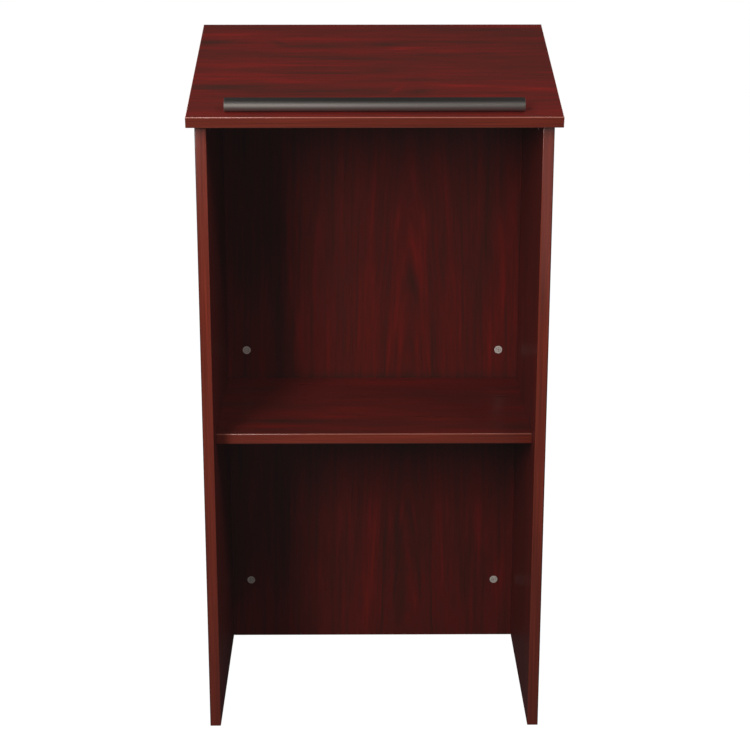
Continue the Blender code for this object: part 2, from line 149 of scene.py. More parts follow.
class Paint:
    """One procedural material. Each call adds a node and returns its output."""

    def __init__(self, name, metallic=0.0, specular=0.5):
        self.material = bpy.data.materials.new(name)
        self.material.use_nodes = True
        self.nodes = self.material.node_tree.nodes
        self.links = self.material.node_tree.links
        self.shader = self.nodes["Principled BSDF"]
        self.shader.inputs["Metallic"].default_value = metallic
        self.shader.inputs["Specular IOR Level"].default_value = specular
        coordinates = self.nodes.new("ShaderNodeTexCoord")
        self.place = coordinates.outputs["Object"]
        self.facing = coordinates.outputs["Normal"]

    def feed(self, socket, value):
        if isinstance(value, bpy.types.NodeSocket):
            self.links.new(value, socket)
        else:
            socket.default_value = value

    def math(self, operation, *values):
        node = self.nodes.new("ShaderNodeMath")
        node.operation = operation
        for socket, value in zip(node.inputs, values):
            self.feed(socket, value)
        return node.outputs[0]

    def times(self, first, second):
        return self.math("MULTIPLY", first, second)

    def add_up(self, start, *shares):
        """The start plus each (value, share) pair's product."""
        result = start
        for value, share in shares:
            result = self.math("MULTIPLY_ADD", value, share, result)
        return result

    def dot(self, vector, direction):
        node = self.nodes.new("ShaderNodeVectorMath")
        node.operation = "DOT_PRODUCT"
        self.feed(node.inputs[0], vector)
        self.feed(node.inputs[1], tuple(direction))
        return node.outputs["Value"]

    def along(self, direction):
        """Distance along a direction, from the object's origin."""
        return self.dot(self.place, direction)

    def lean(self, direction):
        """Cosine of the angle between the surface's own normal and a direction."""
        return self.dot(self.facing, direction)

    def join(self, x, y, z=0.0):
        node = self.nodes.new("ShaderNodeCombineXYZ")
        for socket, value in zip(node.inputs, (x, y, z)):
            self.feed(socket, value)
        return node.outputs[0]

    def noise(self, where, size=1.0, detail=2.0, roughness=0.5):
        """Smooth noise from -1 to 1 or so, with features of about the given size."""
        node = self.nodes.new("ShaderNodeTexNoise")
        self.feed(node.inputs["Vector"], where)
        self.feed(node.inputs["Scale"], 1.0 / size)
        self.feed(node.inputs["Detail"], detail)
        self.feed(node.inputs["Roughness"], roughness)
        return self.math("MULTIPLY_ADD", node.outputs[0], 2.0, -1.0)

    def cells(self, size):
        """A random grey for each cell of a pattern of chips."""
        node = self.nodes.new("ShaderNodeTexVoronoi")
        self.feed(node.inputs["Vector"], self.place)
        self.feed(node.inputs["Scale"], 1.0 / size)
        grey = self.nodes.new("ShaderNodeRGBToBW")
        self.feed(grey.inputs[0], node.outputs["Color"])
        return grey.outputs[0]

    def step(self, value, low, high, start=0.0, end=1.0):
        """A smooth step from start to end, as the value goes from low to high."""
        node = self.nodes.new("ShaderNodeMapRange")
        node.interpolation_type = "SMOOTHSTEP"
        for socket, number in zip(node.inputs, (value, low, high, start, end)):
            self.feed(socket, number)
        return node.outputs[0]

    def ramp(self, value, stops):
        """A colour for a value, through (place, colour) stops."""
        node = self.nodes.new("ShaderNodeValToRGB")
        elements = node.color_ramp.elements
        while len(elements) < len(stops):
            elements.new(0.5)
        for element, (place, colour) in zip(elements, stops):
            element.position = place
            element.color = (*colour, 1.0)
        self.feed(node.inputs[0], value)
        return node.outputs[0]

    def blend(self, factor, first, second):
        """The first colour where the factor is 0, and the second where it is 1."""
        node = self.nodes.new("ShaderNodeMix")
        node.data_type = "RGBA"
        self.feed(node.inputs["Factor"], factor)
        colours = [socket for socket in node.inputs if socket.type == "RGBA"]
        for socket, value in zip(colours, (first, second)):
            self.feed(socket, (*value, 1.0) if isinstance(value, tuple) else value)
        return next(socket for socket in node.outputs if socket.type == "RGBA")

    def finish(self, colour, roughness, height, relief):
        """Links the results to the shader. Height is in units of the relief, in metres."""
        self.feed(self.shader.inputs["Base Color"], colour)
        self.feed(self.shader.inputs["Roughness"], roughness)
        node = self.nodes.new("ShaderNodeBump")
        node.inputs["Strength"].default_value = 1.0
        node.inputs["Distance"].default_value = relief
        self.feed(node.inputs["Height"], height)
        self.links.new(node.outputs[0], self.shader.inputs["Normal"])
        return self.material


class Grain:
    """Noise drawn out along the grain, from its sizes across and along it.

    The shift sets its place in the noise, and the share is how far it moves the print's tone.
    """

    def __init__(self, across, along, shift, share=0.0, detail=2.0, roughness=0.5):
        self.across = across
        self.along = along
        self.shift = shift
        self.share = share
        self.detail = detail
        self.roughness = roughness

    def over(self, paint, across, along, seed=0.0):
        where = paint.join(
            paint.math("DIVIDE", across, self.across),
            paint.math("DIVIDE", along, self.along),
            seed + self.shift,
        )
        return paint.noise(where, detail=self.detail, roughness=self.roughness)


# The boards' print, from dark to bright
WOOD_TONES = [
    (0.00, (0.054, 0.0180, 0.0118)),
    (0.30, (0.096, 0.0162, 0.0112)),
    (0.60, (0.160, 0.0148, 0.0104)),
    (1.00, (0.280, 0.0160, 0.0120)),
]
WOOD_MIDDLE = 0.52
WOOD_GRAIN = {
    "broad": Grain(0.040, 0.450, 2.1, share=0.26),
    "bands": Grain(0.0085, 0.150, 3.4, share=0.34, detail=3.0),
    "lines": Grain(0.0026, 0.160, 4.2, share=0.22, detail=3.0, roughness=0.6),
    "dashes": Grain(0.0040, 0.045, 8.3, share=0.20, detail=3.0, roughness=0.6),
}
WOOD_FIBRES = Grain(0.0006, 0.020, 5.9, share=0.12)
WOOD_PORES = Grain(0.00045, 0.0065, 6.5)
WOOD_PORE_TONE = (0.030, 0.0075, 0.0065)
WOOD_SHIVER = Grain(0.012, 0.060, 1.3)
WOOD_SHIVER_SWING = 0.0014
WOOD_WANDER = Grain(0.100, 0.480, 0.7, detail=1.5)
WOOD_WANDER_SWING = 0.006
WOOD_SPECULAR = 0.17
WOOD_ROUGHNESS = 0.29
WOOD_RELIEF = 0.00004
SIDE_ROUGHNESS = 0.38

# The arches' growth rings
RING_DRIFT = Grain(0.020, 0.350, 0.0)
RING_DRIFT_SWING = 0.8
RING_STRENGTH = Grain(0.030, 0.260, 0.5)
RING_SEED = 9.6
RING_SHARE = -0.15
ARCH_REACH = 0.14
ARCH_FAR = 0.25

# A streak fades to nothing at this many times its half length and half width.
STREAK_FADE = 2.0

# Sawn particle board
CHIP_SIZE = 0.0022
CHIP_TONES = [(0.0, (0.20, 0.12, 0.060)), (0.5, (0.38, 0.25, 0.14)), (1.0, (0.58, 0.43, 0.27))]
RAW_LEAN = 0.9
RAW_ROUGHNESS = 0.5

# The edge bands' print, and the painted highlight and shade on their rounded corners
BAND_TONES = [
    (0.00, (0.160, 0.0220, 0.0110)),
    (0.50, (0.228, 0.0300, 0.0140)),
    (1.00, (0.320, 0.0420, 0.0200)),
]
BAND_MIDDLE = 0.5
BAND_GRAIN = {
    "broad": Grain(0.012, 0.300, 0.4, share=0.25),
    "lines": Grain(0.0024, 0.160, 1.6, share=0.90, detail=3.0),
    "fibres": Grain(0.0005, 0.015, 2.2, share=0.12),
}
BAND_PORES = Grain(0.00035, 0.0050, 3.8)
BAND_PORE_TONE = (0.045, 0.0100, 0.0070)
BAND_SPECULAR = 0.55
BAND_ROUGHNESS = 0.24
BAND_RELIEF = 0.00002
# Painted highlight on the bands' rounded corners, and painted shade on the uprights' outer corners and the shelf
# band's lower corner
UPPER_ARRIS_HIGHLIGHT = (0.50, 0.155, 0.110)
LOWER_ARRIS_HIGHLIGHT = (0.34, 0.072, 0.046)
SHELF_ARRIS_HIGHLIGHT = (0.42, 0.135, 0.095)
INNER_ARRIS_HIGHLIGHT = (0.250, 0.0350, 0.0165)
OUTER_ARRIS_SHADE = (0.110, 0.0190, 0.0115)

# The book stop's satin finish: its nose is this tone, and its crest is painted shade, a share of it
STOP_TONES = [(0.0, (0.265, 0.236, 0.217)), (1.0, (0.405, 0.360, 0.332))]
STOP_CREST_SHADE = 0.21
STOP_ROUGHNESS = 0.64
STOP_DRAW_LENGTH = 0.400
STOP_DRAW_WIDTH = 0.0006

# Metals and dowels
ZINC_TONES = [(0.0, (0.26, 0.23, 0.20)), (0.5, (0.97, 0.88, 0.80)), (1.0, (0.99, 0.94, 0.87))]
ZINC_ROUGHNESS = 0.55
BOLT_TONES = [(0.0, (0.40, 0.40, 0.41)), (1.0, (0.62, 0.62, 0.63))]
BOLT_ROUGHNESS = 0.32
SCREW_TONES = [(0.0, (0.30, 0.29, 0.28)), (1.0, (0.52, 0.51, 0.50))]
SCREW_ROUGHNESS = 0.36
BEECH_TONES = [(0.0, (0.36, 0.20, 0.10)), (0.5, (0.56, 0.38, 0.22)), (1.0, (0.68, 0.50, 0.32))]
BEECH_RINGS = Grain(0.0016, 0.030, 1.0)
BEECH_FLECKS = Grain(0.0003, 0.0022, 2.0)
BEECH_ROUGHNESS = 0.62


class Streak:
    """A long mark in the print, or a band of painted light or shade: its middle, half length, half width,
    strength and lean.

    A face, where given, is the way that the only surface with the mark faces.
    """

    def __init__(self, across, along, length, width, strength, lean=0.0, face=None):
        self.middle = (across, along, 0)
        self.reach = (width * STREAK_FADE, length * STREAK_FADE, 1)
        self.strength = strength
        self.turn = (0, 0, -math.atan(lean))
        self.face = face

    def over(self, paint, spot, tone):
        """The tone with this streak added. The spot holds the places across and along the grain."""
        placed = paint.nodes.new("ShaderNodeMapping")
        placed.vector_type = "TEXTURE"
        for socket, value in zip(placed.inputs, (spot, self.middle, self.turn, self.reach)):
            paint.feed(socket, value)
        fall = paint.nodes.new("ShaderNodeTexGradient")
        fall.gradient_type = "QUADRATIC_SPHERE"
        paint.feed(fall.inputs[0], placed.outputs[0])
        strength = self.strength
        if self.face:
            strength = paint.times(paint.math("GREATER_THAN", paint.lean(self.face), 0.5), self.strength)
        return paint.math("MULTIPLY_ADD", fall.outputs[1], strength, tone)


class Arches:
    """A plain-sawn figure: growth rings that meet in pointed arches on a line along the grain.

    The rings lean together by the taper near that line, and run straighter away from it.
    """

    def __init__(self, across, middle, depth, taper, pitch=0.0110):
        self.across = across
        self.middle = middle
        self.depth = depth
        self.taper = taper
        self.pitch = pitch

    def ring(self, paint, across, along):
        """Distance from the tree's middle, on the surface of the board."""
        aside = paint.math("SUBTRACT", across, self.across)
        square = paint.math("MULTIPLY_ADD", aside, aside, self.depth**2)
        away = paint.math("ABSOLUTE", aside)
        taper = paint.step(away, 0.0, ARCH_REACH, self.taper, self.taper * ARCH_FAR)
        rise = paint.math("SUBTRACT", along, self.middle)
        return paint.math("MULTIPLY_ADD", rise, taper, paint.math("SQRT", square))

    def late_wood(self, paint, ring, along, seed):
        """The dark line of each ring: it deepens slowly outwards and ends sharply."""
        drift = RING_DRIFT.over(paint, ring, along, seed)
        phase = paint.math("MULTIPLY_ADD", drift, RING_DRIFT_SWING, paint.math("DIVIDE", ring, self.pitch))
        share = paint.math("FRACT", phase)
        line = paint.times(paint.step(share, 0.30, 0.90), paint.step(share, 0.90, 1.00, 1.0, 0.0))
        strength = paint.step(RING_STRENGTH.over(paint, ring, along, seed), -0.5, 0.5, 0.15, 1.0)
        return paint.times(line, strength)


def print_tone(paint, grains, middle, across, along, seed):
    """The tone of a print, and the layers that it is made of by name."""
    layers = {name: grain.over(paint, across, along, seed) for name, grain in grains.items()}
    tone = paint.add_up(middle, *((layer, grains[name].share) for name, layer in layers.items()))
    return tone, layers


def laminate(name, across_way, along_way, seed, arches=None, streaks=(), raw_ways=(), dull=WOOD_ROUGHNESS):
    """Mahogany print under a satin melamine face, with fine pores pressed into it.

    The face's roughness varies a little about the dull value. The raw ways are those that the
    board's sawn edges face.
    """
    paint = Paint(name, specular=WOOD_SPECULAR)
    along = paint.along(along_way)
    across = paint.along(across_way)
    shiver = WOOD_SHIVER.over(paint, across, along, seed)
    across = paint.math("MULTIPLY_ADD", shiver, WOOD_SHIVER_SWING, across)
    spot = paint.join(across, along)
    wander = WOOD_WANDER.over(paint, across, along, seed)
    across = paint.math("MULTIPLY_ADD", wander, WOOD_WANDER_SWING, across)
    field = arches.ring(paint, across, along) if arches else across

    tone, layers = print_tone(paint, WOOD_GRAIN, WOOD_MIDDLE, field, along, seed)
    lines = layers["lines"]
    fibres = WOOD_FIBRES.over(paint, across, along, seed)
    tone = paint.add_up(tone, (fibres, WOOD_FIBRES.share))
    if arches:
        tone = paint.add_up(tone, (arches.late_wood(paint, field, along, seed + RING_SEED), RING_SHARE))
    for streak in streaks:
        tone = streak.over(paint, spot, tone)
    pores = paint.step(WOOD_PORES.over(paint, across, along, seed), 0.34, 0.56)
    colour = paint.ramp(tone, WOOD_TONES)
    colour = paint.blend(paint.times(pores, 0.50), colour, WOOD_PORE_TONE)

    cloud = paint.noise(paint.place, 0.060, detail=3.0)
    roughness = paint.add_up(dull, (cloud, 0.03), (lines, 0.03), (pores, 0.12))
    height = paint.add_up(0.0, (pores, -1.0), (fibres, 0.25), (lines, 0.20))
    if raw_ways:
        raw, bare = raw_board(paint), raw_mask(paint, raw_ways)
        colour = paint.blend(bare, colour, raw)
        roughness = paint.add_up(roughness, (bare, RAW_ROUGHNESS))
    return paint.finish(colour, roughness, height, WOOD_RELIEF)


def raw_board(paint):
    """Colour of sawn particle board: pale and darker chips."""
    tone = paint.add_up(paint.cells(CHIP_SIZE), (paint.noise(paint.place, 0.0006), 0.15))
    return paint.ramp(tone, CHIP_TONES)


def raw_mask(paint, ways):
    """One where the surface faces one of the given ways, which are the board's sawn edges."""
    result = 0.0
    for way in ways:
        facing = paint.math("GREATER_THAN", paint.math("ABSOLUTE", paint.lean(way)), RAW_LEAN)
        result = paint.math("MAXIMUM", result, facing)
    return result


def edge_band(name, across_way, along_way, seed, painted_arris_light=(LOWER_ARRIS_HIGHLIGHT, UPPER_ARRIS_HIGHLIGHT)):
    """A thin glued strip with a printed lengthwise grain, a little warmer than the boards.

    Its rounded corners carry painted highlight and shade. The second painted arris tone is for the
    corner on the side that across_way points to, and the first is for the other corner.
    """
    paint = Paint(name, specular=BAND_SPECULAR)
    along = paint.along(along_way)
    across = paint.along(across_way)
    arris = arris_mask(paint, across_way)
    tone, layers = print_tone(paint, BAND_GRAIN, BAND_MIDDLE, across, along, seed)
    lines = layers["lines"]
    pores = paint.step(BAND_PORES.over(paint, across, along, seed), 0.38, 0.58)
    colour = paint.ramp(tone, BAND_TONES)
    colour = paint.blend(paint.times(pores, 0.35), colour, BAND_PORE_TONE)
    # painted highlight and shade on the rounded corners, varied a little along the band
    arris_paint_share = paint.times(arris, paint.step(layers["broad"], -1.2, 0.6, 0.55, 1.0))
    painted_arris = paint.blend(paint.step(paint.lean(across_way), -0.2, 0.2), *painted_arris_light)
    colour = paint.blend(arris_paint_share, colour, painted_arris)
    roughness = paint.add_up(BAND_ROUGHNESS, (lines, 0.03), (pores, 0.10))
    smoothed = paint.add_up(1.0, (arris, -0.9))
    height = paint.add_up(0.0, (pores, -1.0), (layers["fibres"], 0.3), (lines, 0.3))
    return paint.finish(colour, roughness, paint.times(height, smoothed), BAND_RELIEF)


def arris_mask(paint, across_way):
    """One along the rounded corners of a band, where the painted highlight and shade go."""
    lean = paint.math("ABSOLUTE", paint.lean(across_way))
    return paint.times(paint.step(lean, 0.06, 0.30), paint.step(lean, 0.90, 0.99, 1.0, 0.0))


def stop_finish():
    """Black satin finish on the stop: faint draw lines along it, and painted shade that darkens the crest, which
    faces up, against the nose.
    """
    paint = Paint("book_stop_satin", metallic=1.0)
    drawn = paint.join(
        paint.math("DIVIDE", paint.along(RIGHT), STOP_DRAW_LENGTH),
        paint.math("DIVIDE", paint.along(INWARD), STOP_DRAW_WIDTH),
        paint.math("DIVIDE", paint.along(UP), STOP_DRAW_WIDTH),
    )
    lines = paint.noise(drawn)
    specks = paint.noise(paint.place, 0.0009)
    nose_tone = paint.ramp(paint.add_up(0.5, (lines, 0.35), (specks, 0.25)), STOP_TONES)
    # painted shade: the faces that lean up along the top's normal are darkened to a share of the nose's tone
    crest_shade = paint.step(paint.lean(TOP_NORMAL), 0.10, 1.00, 1.0, STOP_CREST_SHADE)
    colour = paint.blend(crest_shade, (0.0, 0.0, 0.0), nose_tone)
    roughness = paint.add_up(STOP_ROUGHNESS, (lines, 0.05), (specks, 0.05))
    height = paint.add_up(0.0, (lines, 0.5), (specks, 0.4))
    return paint.finish(colour, roughness, height, relief=0.00002)


def die_cast_zinc():
    """Cast zinc: soft mottling, small pits, and painted shade that darkens it below the face, in the groove and
    the cross.
    """
    paint = Paint("cam_zinc", metallic=0.05)
    # painted shade: darker from a little below the face, in the recesses
    recess_shade = paint.step(paint.math("ABSOLUTE", paint.along(UP)), 0.0004, 0.0010)
    mottle = paint.noise(paint.place, 0.0016, detail=3.0)
    pits = paint.step(paint.noise(paint.place, 0.0005, detail=1.0), 0.42, 0.62)
    colour = paint.ramp(paint.add_up(0.55, (mottle, 0.4), (pits, -0.3), (recess_shade, -0.24)), ZINC_TONES)
    roughness = paint.add_up(ZINC_ROUGHNESS, (mottle, 0.08), (pits, 0.10))
    height = paint.add_up(0.0, (mottle, 0.5), (pits, -1.0))
    return paint.finish(colour, roughness, height, relief=0.00004)


def plated_steel(name, tones, dull):
    """Zinc-plated steel with fine scratches from the barrel that it was plated in."""
    paint = Paint(name, metallic=1.0)
    scuffs = paint.noise(paint.place, 0.0012, detail=3.0)
    turned = paint.join(paint.along(RIGHT), paint.along(UP), paint.along(INWARD))
    scratches = paint.noise(turned, 0.0004)
    colour = paint.ramp(paint.add_up(0.5, (scuffs, 0.4), (scratches, 0.2)), tones)
    roughness = paint.add_up(dull, (scuffs, 0.08))
    height = paint.add_up(0.0, (scuffs, 0.5), (scratches, 0.3))
    return paint.finish(colour, roughness, height, relief=0.00002)


def beech(name, along_way, across_way):
    """Turned beech: pale, with short dark flecks along the grain."""
    paint = Paint(name, specular=0.3)
    along = paint.along(along_way)
    across = paint.along(across_way)
    rings = BEECH_RINGS.over(paint, across, along)
    flecks = paint.step(BEECH_FLECKS.over(paint, across, along), 0.35, 0.55)
    colour = paint.ramp(paint.add_up(0.5, (rings, 0.5), (flecks, -0.35)), BEECH_TONES)
    roughness = paint.add_up(BEECH_ROUGHNESS, (rings, 0.06))
    height = paint.add_up(rings, (flecks, -1.0))
    return paint.finish(colour, roughness, height, relief=0.00005)


# ---------------------------------------------------------------- meshes


def add_piece(name, mesh, material, body, nodes, placed=None):
    """Puts a new piece in the scene, on its body, in place of its CAD nodes."""
    piece = bpy.data.objects.new(name, mesh)
    bpy.context.collection.objects.link(piece)
    if not mesh.materials:
        mesh.materials.append(material)
    if placed:
        piece.matrix_world = placed
    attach(piece, body)
    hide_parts(*nodes)
    return piece


def mesh_from(name, bm):
    bmesh.ops.recalc_face_normals(bm, faces=bm.faces)
    mesh = bpy.data.meshes.new(name)
    bm.to_mesh(mesh)
    bm.free()
    smooth(mesh)
    return mesh


def smooth(mesh):
    mesh.shade_smooth()
    mesh.set_sharp_from_angle(angle=SHARP_ANGLE)


def corner(centre, half_axes, start, steps=ROUND_STEPS):
    """A quarter of an ellipse from a start angle in degrees, anticlockwise."""
    points = []
    for step in range(steps + 1):
        angle = math.radians(start + 90 * step / steps)
        across = centre[0] + half_axes[0] * math.cos(angle)
        points.append((across, centre[1] + half_axes[1] * math.sin(angle)))
    return points


def strip_mesh(name, section, axes, ends, ease):
    """A straight strip: a section of (a, b) points on two axes, drawn along a third to two planes.

    Each end is a plane (normal, offset), and its edges are eased.
    """
    first, second, drawn = axes
    bm = bmesh.new()
    rings = []
    for normal, offset in ends:
        ring = []
        for a, b in section:
            foot = first * a + second * b
            reach = (offset - normal.dot(foot)) / normal.dot(drawn)
            ring.append(bm.verts.new(foot + drawn * reach))
        rings.append(ring)
    count = len(section)
    for step in range(count):
        after = (step + 1) % count
        bm.faces.new((rings[0][step], rings[0][after], rings[1][after], rings[1][step]))
    caps = [bm.faces.new(ring) for ring in rings]
    rims = [edge for cap in caps for edge in cap.edges]
    bmesh.ops.recalc_face_normals(bm, faces=bm.faces)
    bmesh.ops.bevel(bm, geom=rims, offset=ease, segments=2, profile=0.5, affect="EDGES")
    return mesh_from(name, bm)


def band_section(inner, outer, low, high):
    """A band's section: square against the board, rounded towards the outside."""
    half_axes = (BAND_ROUND_IN, BAND_ROUND_DOWN)
    centre = outer - BAND_ROUND_IN
    return [
        (inner, low),
        *corner((centre, low + BAND_ROUND_DOWN), half_axes, -90),
        *corner((centre, high - BAND_ROUND_DOWN), half_axes, 0),
        (inner, high),
    ]


def make_band(node, board, outward, across, drawn, material, cut=None):
    """A rounded edge band in place of a CAD band, which reaches to its board and closes the joint."""
    inner = span(board, outward)[1]
    outer = span(node, outward)[1]
    section = band_section(inner, outer, *span(node, across))
    low, high = span(node, drawn)
    far = (cut, span(node, cut)[1]) if cut else (drawn, high)
    mesh = strip_mesh(node, section, (outward, across, drawn), [(drawn, low), far], END_EASE)
    return add_piece(f"{node}_strip", mesh, material, CABINET, [node])


def make_bands():
    front = edge_band("band_front", TOP_NORMAL, RIGHT, 11.0)
    slope = edge_band("band_slope", TOP_NORMAL, UP_SLOPE, 17.0)
    make_band("top_front_band", "reading_top", -UP_SLOPE, TOP_NORMAL, RIGHT, front)
    make_band("top_rear_band", "reading_top", UP_SLOPE, TOP_NORMAL, RIGHT, front)
    make_band("top_left_band", "reading_top", -RIGHT, TOP_NORMAL, UP_SLOPE, slope)
    make_band("top_right_band", "reading_top", RIGHT, TOP_NORMAL, UP_SLOPE, slope)
    # painted highlight on the inner corners of the uprights' bands, and painted shade on the outer ones
    side_arris_light = (INNER_ARRIS_HIGHLIGHT, OUTER_ARRIS_SHADE)
    for side, outward, seed in (("left", -RIGHT, 23.0), ("right", RIGHT, 28.0)):
        upright = edge_band(f"band_{side}", outward, UP, seed, side_arris_light)
        panel = f"{side}_side_panel"
        make_band(f"{side}_side_front_band", panel, -INWARD, RIGHT, UP, upright, cut=TOP_NORMAL)
        make_band(f"{side}_side_rear_band", panel, INWARD, RIGHT, UP, upright, cut=TOP_NORMAL)
    # painted shade on the shelf band's lower corner, and painted highlight on its upper one
    shelf = edge_band("band_shelf", UP, RIGHT, 37.0, (OUTER_ARRIS_SHADE, SHELF_ARRIS_HIGHLIGHT))
    make_band("shelf_front_band", "shelf", -INWARD, UP, RIGHT, shelf)


def make_book_stop():
    """The book stop: flat top, half-round front and tight rear corner."""
    front, rear = span("book_stop", UP_SLOPE)
    foot, crest = span("book_stop", TOP_NORMAL)
    nose = (crest - foot) / 2
    nose_centre = (front + nose, foot + nose)
    rear_centre = (rear - STOP_REAR_ROUND, crest - STOP_REAR_ROUND)
    section = [
        *corner(nose_centre, (nose, nose), 90, NOSE_STEPS),
        *corner(nose_centre, (nose, nose), 180, NOSE_STEPS)[1:],
        (rear, foot),
        *corner(rear_centre, (STOP_REAR_ROUND, STOP_REAR_ROUND), 0),
    ]
    ends = [(RIGHT, reach) for reach in span("book_stop", RIGHT)]
    mesh = strip_mesh("book_stop", section, (UP_SLOPE, TOP_NORMAL, RIGHT), ends, STOP_END_EASE)
    add_piece("book_stop_extrusion", mesh, stop_finish(), CABINET, ["book_stop"])


def add_turned(bm, profile, steps=FINE_STEPS):
    """Spins a profile of (radius, height) points into a closed solid about Z."""
    rings = []
    for radius, height in profile:
        ring = []
        for step in range(steps):
            angle = 2 * math.pi * step / steps
            ring.append(bm.verts.new((radius * math.cos(angle), radius * math.sin(angle), height)))
        rings.append(ring)
    for lower, upper in zip(rings, rings[1:]):
        for step in range(steps):
            after = (step + 1) % steps
            bm.faces.new((lower[step], lower[after], upper[after], upper[step]))
    bm.faces.new(list(reversed(rings[0])))
    bm.faces.new(rings[-1])


def add_taper(bm, outline, low, high, scale=1.0):
    """A solid over an outline, whose lower end is the outline scaled about the origin."""
    upper = [bm.verts.new((x, y, high)) for x, y in outline]
    lower = [bm.verts.new((x * scale, y * scale, low)) for x, y in outline]
    bm.faces.new(upper)
    bm.faces.new(list(reversed(lower)))
    for step in range(len(outline)):
        after = (step + 1) % len(outline)
        bm.faces.new((upper[step], lower[step], lower[after], upper[after]))


def cross_outline(length, width):
    """The twelve corners of a cross, going round it once."""
    half, thin = length / 2, width / 2
    outline = []
    for quarter in range(4):
        turn = Matrix.Rotation(quarter * math.pi / 2, 2)
        for spot in ((half, -thin), (half, thin), (thin, thin)):
            outline.append(tuple(turn @ Vector(spot)))
    return outline


def carved(name, solid, cutters):
    """The mesh of a solid with each cutter taken out of it in turn."""
    body = bpy.data.objects.new(name, mesh_from(name, solid))
    bpy.context.collection.objects.link(body)
    spare = [body]
    for index, cutter in enumerate(cutters):
        tool = bpy.data.objects.new(f"{name}_cutter_{index}", mesh_from(f"{name}_cutter", cutter))
        bpy.context.collection.objects.link(tool)
        cut = body.modifiers.new(f"cut_{index}", "BOOLEAN")
        cut.operation = "DIFFERENCE"
        cut.object = tool
        spare.append(tool)
    bpy.context.view_layer.update()
    seen = body.evaluated_get(bpy.context.evaluated_depsgraph_get())
    mesh = bpy.data.meshes.new_from_object(seen)
    for thing in spare:
        bpy.data.objects.remove(thing, do_unlink=True)
    smooth(mesh)
    return mesh


def cam_lock_mesh():
    """A cam lock in its own frame: Z out of the board's face, X towards the bolt's foot."""
    solid = bmesh.new()
    face = -CAM_RECESS
    add_turned(solid, [
        (CAM_RADIUS - CAM_RIM, -CAM_BOTTOM),
        (CAM_RADIUS, -CAM_BOTTOM + CAM_RIM),
        (CAM_RADIUS, face - CAM_RIM),
        (CAM_RADIUS - CAM_RIM / 3, face - CAM_RIM / 3),
        (CAM_RADIUS - CAM_RIM, face),
        (CAM_GROOVE_OUT, face),
        (CAM_GROOVE_OUT - CAM_GROOVE_SLOPE, face - CAM_GROOVE_DEPTH),
        (CAM_GROOVE_IN + CAM_GROOVE_SLOPE, face - CAM_GROOVE_DEPTH),
        (CAM_GROOVE_IN, face),
    ])

    low, high = CAM_MIDDLE - CAM_HOLLOW_HALF, CAM_MIDDLE + CAM_HOLLOW_HALF
    hollow = bmesh.new()
    add_turned(hollow, [(CAM_HOLLOW_RADIUS, low), (CAM_HOLLOW_RADIUS, high)])

    outside = CAM_RADIUS + PAST
    half_turn = [math.radians(-step * 180 / FINE_STEPS) for step in range(FINE_STEPS + 1)]
    rim = [(outside * math.cos(angle), outside * math.sin(angle)) for angle in half_turn]
    slot = bmesh.new()
    neck_path = [(outside, CAM_SLOT_HALF), *rim, (-outside, CAM_SLOT_HALF)]
    add_taper(slot, neck_path, CAM_MIDDLE - CAM_SLOT_HALF, CAM_MIDDLE + CAM_SLOT_HALF)

    mouth = bmesh.new()
    opening = [
        (-outside, -CAM_HOLLOW_HALF),
        (-CAM_SLOT_HALF, -CAM_HOLLOW_HALF),
        (-CAM_SLOT_HALF, CAM_HOLLOW_HALF),
        (-outside, CAM_HOLLOW_HALF),
    ]
    add_taper(mouth, opening, low, high)

    cross = bmesh.new()
    add_taper(cross, cross_outline(CROSS_LENGTH, CROSS_WIDTH), -CROSS_DEPTH, 0, CROSS_TAPER)

    mark = bmesh.new()
    add_taper(mark, [(MARK_TIP, 0), (MARK_BASE, MARK_HALF), (MARK_BASE, -MARK_HALF)], face - MARK_DEPTH, 0)
    return carved("cam_lock", solid, [hollow, slot, mouth, cross, mark])


def make_cam_locks(material):
    """A cam lock at each hinge, turned so that its mark points at its bolt's foot."""
    mesh = cam_lock_mesh()
    for joint in frame["joints"]:
        body = joint["child"]
        site = body.removeprefix("cam_")
        centre = Vector(joint["pos_m"])
        out = Vector(joint["axis"])
        low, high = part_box(f"cam_bolt_{site}")
        to_foot = (low + high) / 2 - centre
        to_foot = (to_foot - out * to_foot.dot(out)).normalized()
        turn = Matrix((to_foot, out.cross(to_foot), out)).transposed().to_4x4()
        placed = Matrix.Translation(centre) @ turn
        node = f"cam_lock_{site}"
        add_piece(f"{node}_cast", mesh, material, body, [node], placed)


def screw_mesh():
    """A cross-head wood screw: head below z = 0, against the board, and shank above it."""
    dome = []
    for degrees in SCREW_DOME_ANGLES:
        angle = math.radians(degrees)
        rise = SCREW_HEAD_HEIGHT * SCREW_DOME_SHARE * (1 - math.cos(angle))
        dome.append((SCREW_HEAD_RADIUS * math.sin(angle), rise - SCREW_HEAD_HEIGHT))
    solid = bmesh.new()
    add_turned(solid, [
        *dome,
        (SCREW_HEAD_RADIUS, -SCREW_GAP),
        (SCREW_RADIUS, -SCREW_GAP),
        (SCREW_RADIUS, SCREW_LENGTH - SCREW_TIP),
        (SCREW_RADIUS * SCREW_TIP_SHARE, SCREW_LENGTH),
    ])
    cross = bmesh.new()
    outline = cross_outline(SCREW_CROSS_LENGTH, SCREW_CROSS_WIDTH)
    add_taper(cross, outline, -SCREW_HEAD_HEIGHT - PAST, SCREW_CROSS_FLOOR)
    return carved("screw", solid, [cross])


